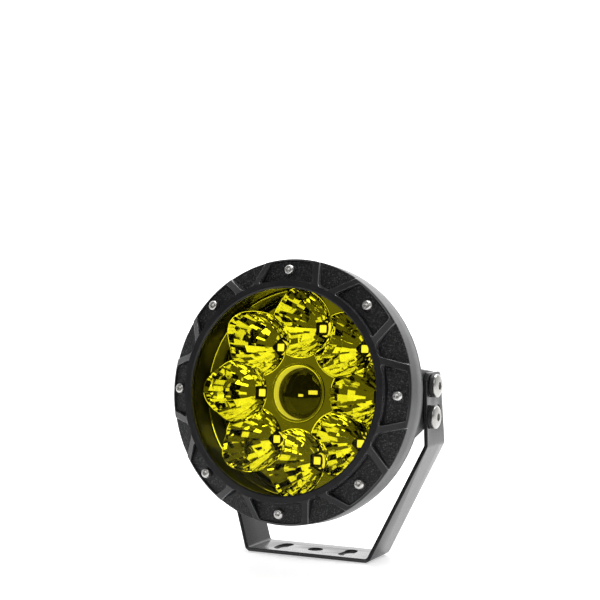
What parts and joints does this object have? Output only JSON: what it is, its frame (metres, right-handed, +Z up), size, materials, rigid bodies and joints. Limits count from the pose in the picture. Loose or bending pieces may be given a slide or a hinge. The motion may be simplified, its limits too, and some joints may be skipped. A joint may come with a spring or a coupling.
{
  "type": "LED fog light",
  "caption": "Round yellow LED fog light with a ribbed bezel, cup reflectors around a middle projector and a finned housing, tilting on a U-shaped steel bracket.",
  "frame": {"origin": "centre of the middle mounting hole on the underside of the bracket's base, which is the middle of the lamp's footprint box", "axes": "+Z up, the lens faces -Y, +X is to the right seen from the front, along the tilt axis"},
  "size_m": [0.18, 0.124, 0.2075],
  "materials": {
    "black_steel": "satin black powder coat",
    "black_cast": "fine-grained black coating on die-cast aluminium",
    "stainless": "satin stainless",
    "black_nylon": "matt black nylon",
    "yellow_lens": "clear yellow, polished",
    "clear_glass": "clear, polished",
    "bright_reflector": "vacuum-metallised mirror",
    "rubber": "matt black silicone",
    "silicone": "grey thermal silicone",
    "black_plastic": "matt black moulded",
    "board": "green solder mask",
    "led_yellow": "yellow phosphor",
    "copper": "enamelled copper winding",
    "silver_can": "drawn aluminium can"
  },
  "bodies": {
    "bracket": {"bracket": "black_steel"},
    "lamp": {"pivot_washer_right": "black_nylon", "pivot_washer_left": "black_nylon", "lock_washer_right": "black_nylon", "lock_washer_left": "black_nylon", "pivot_bolt_right": "stainless", "pivot_bolt_left": "stainless", "lock_bolt_right": "stainless", "lock_bolt_left": "stainless", "bezel": "black_cast", "bezel_screw_1": "stainless", "bezel_screw_2": "stainless", "bezel_screw_3": "stainless", "bezel_screw_4": "stainless", "bezel_screw_5": "stainless", "bezel_screw_6": "stainless", "bezel_screw_7": "stainless", "bezel_screw_8": "stainless", "lens": "yellow_lens", "lens_gasket": "rubber", "reflector": "bright_reflector", "projector_barrel": "black_plastic", "projector_lens": "clear_glass", "led_board": "board", "led_1": "led_yellow", "led_2": "led_yellow", "led_3": "led_yellow", "led_4": "led_yellow", "led_5": "led_yellow", "led_6": "led_yellow", "led_7": "led_yellow", "led_8": "led_yellow", "led_centre": "led_yellow", "thermal_pad": "silicone", "housing": "black_cast", "rear_seal": "rubber", "rear_cover": "black_cast", "rear_cover_screw_1": "stainless", "rear_cover_screw_2": "stainless", "rear_cover_screw_3": "stainless", "rear_cover_screw_4": "stainless", "cable_gland": "black_plastic", "gland_nut": "black_plastic", "vent_plug": "black_plastic", "driver_board": "board", "driver_inductor": "copper", "driver_capacitor_1": "silver_can", "driver_capacitor_2": "silver_can", "driver_switch": "black_plastic"}
  },
  "joints": [
    {"name": "head_tilt", "type": "hinge", "parent": "bracket", "child": "lamp", "pos_m": [0, 0.0133, 0.1215], "axis": [1, 0, 0], "range_deg": [-3, 13]}
  ]
}
